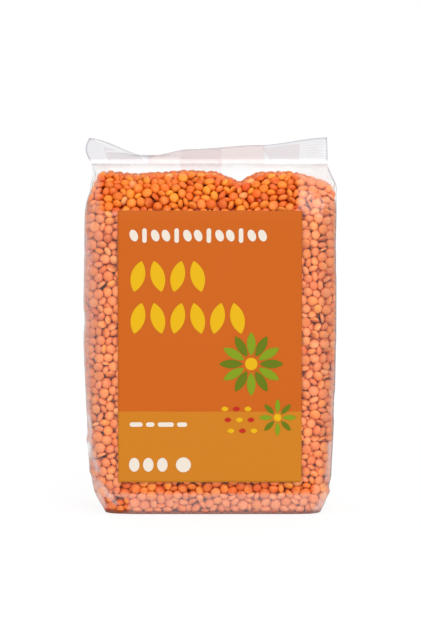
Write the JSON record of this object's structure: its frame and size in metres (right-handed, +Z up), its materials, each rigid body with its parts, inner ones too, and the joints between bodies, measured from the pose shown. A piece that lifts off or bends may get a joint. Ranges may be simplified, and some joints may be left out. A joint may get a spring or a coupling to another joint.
{
  "type": "bag of lentils",
  "caption": "Clear side-gusset film bag filled with red lentils, with a flat base, a crimped top fin that leans back and a printed label on the front.",
  "frame": {"origin": "centre of the base, on the surface that the bag stands on", "axes": "+Z up the bag to the fin, the labelled front faces -Y, +X to the right seen from the front"},
  "size_m": [0.101, 0.0495, 0.1499],
  "materials": {
    "bag_film": "clear glossy film over salmon orange lentils",
    "label": "smooth printed label, burnt orange above an amber band"
  },
  "bodies": {
    "root": {"bag": "bag_film", "label": "label"}
  },
  "joints": []
}
